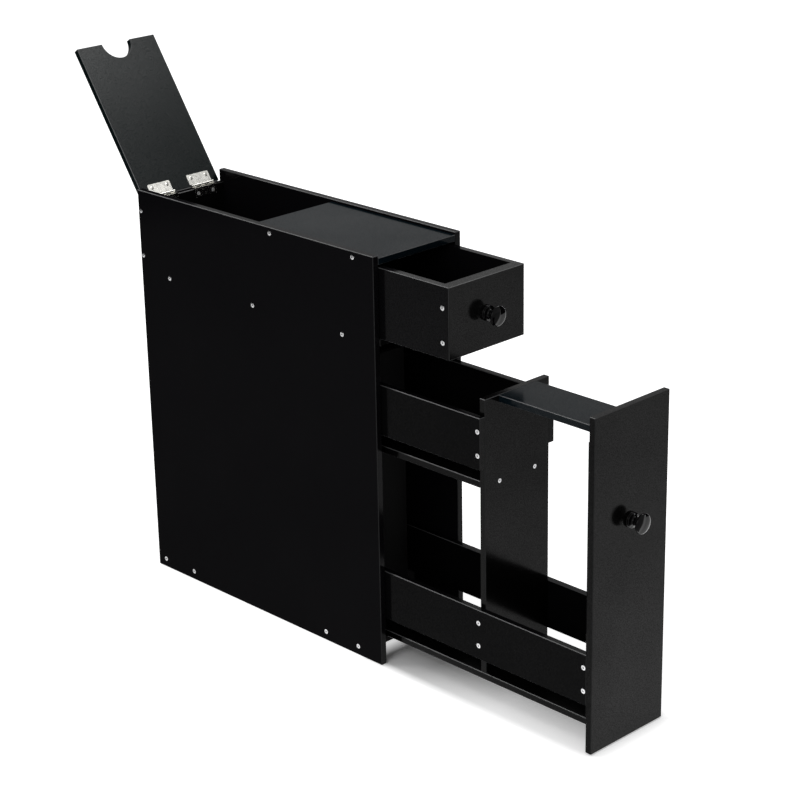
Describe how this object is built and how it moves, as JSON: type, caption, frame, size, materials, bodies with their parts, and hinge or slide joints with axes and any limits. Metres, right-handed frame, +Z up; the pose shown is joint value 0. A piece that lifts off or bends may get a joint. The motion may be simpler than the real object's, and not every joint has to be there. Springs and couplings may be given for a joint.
{
  "type": "slim bathroom cabinet",
  "caption": "Slim black floor cabinet with a tall slide-out rack, a small drawer above it and a hinged lid with a finger notch over a rear compartment.",
  "frame": {"origin": "floor level, on the mid-plane between the side panels, half-way between the foremost knob face and the rearmost corner of the open lid in the stored pose", "axes": "+X to the cabinet's right side seen from the front, +Y from front to back, +Z up"},
  "size_m": [0.16, 1.0106, 0.7592],
  "materials": {
    "black_board": "satin black laminate",
    "black_knob": "gloss black",
    "hinge_steel": "satin nickel plate",
    "screw_steel": "bright zinc plate"
  },
  "bodies": {
    "case": {"left_side_panel": "black_board", "right_side_panel": "black_board", "top_panel": "black_board", "shelf_panel": "black_board", "upper_back_panel": "black_board", "front_stretcher": "black_board", "rear_stretcher": "black_board", "left_case_screws": "screw_steel", "right_case_screws": "screw_steel", "left_fixed_leaf": "hinge_steel", "right_fixed_leaf": "hinge_steel", "left_hinge_pin": "hinge_steel", "right_hinge_pin": "hinge_steel", "fixed_leaf_screws": "screw_steel"},
    "lid": {"lid_panel": "black_board", "left_lid_leaf": "hinge_steel", "right_lid_leaf": "hinge_steel", "lid_leaf_screws": "screw_steel"},
    "drawer": {"drawer_front": "black_board", "drawer_left_side": "black_board", "drawer_right_side": "black_board", "drawer_back": "black_board", "drawer_bottom": "black_board", "drawer_knob": "black_knob", "drawer_knob_screw": "screw_steel", "drawer_screws": "screw_steel"},
    "slide_out": {"tall_front": "black_board", "inner_board": "black_board", "divider_panel": "black_board", "rear_board": "black_board", "top_shelf": "black_board", "middle_shelf": "black_board", "bottom_board": "black_board", "left_middle_slat": "black_board", "right_middle_slat": "black_board", "left_bottom_slat": "black_board", "right_bottom_slat": "black_board", "left_runner": "black_board", "right_runner": "black_board", "tall_knob": "black_knob", "tall_knob_screw": "screw_steel", "left_slat_screws": "screw_steel", "right_slat_screws": "screw_steel", "divider_screws": "screw_steel", "rear_board_screws": "screw_steel", "front_board_screws": "screw_steel", "underside_screws": "screw_steel"}
  },
  "joints": [
    {"name": "slide_out_travel", "type": "slide", "parent": "case", "child": "slide_out", "axis": [0, 1, 0], "range_m": [0, 0.366]},
    {"name": "drawer_travel", "type": "slide", "parent": "case", "child": "drawer", "axis": [0, 1, 0], "range_m": [-0.06, 0.124]},
    {"name": "lid_hinge", "type": "hinge", "parent": "case", "child": "lid", "pos_m": [0, 0.36132, 0.5653], "axis": [1, 0, 0], "range_deg": [0, 124.5]}
  ]
}
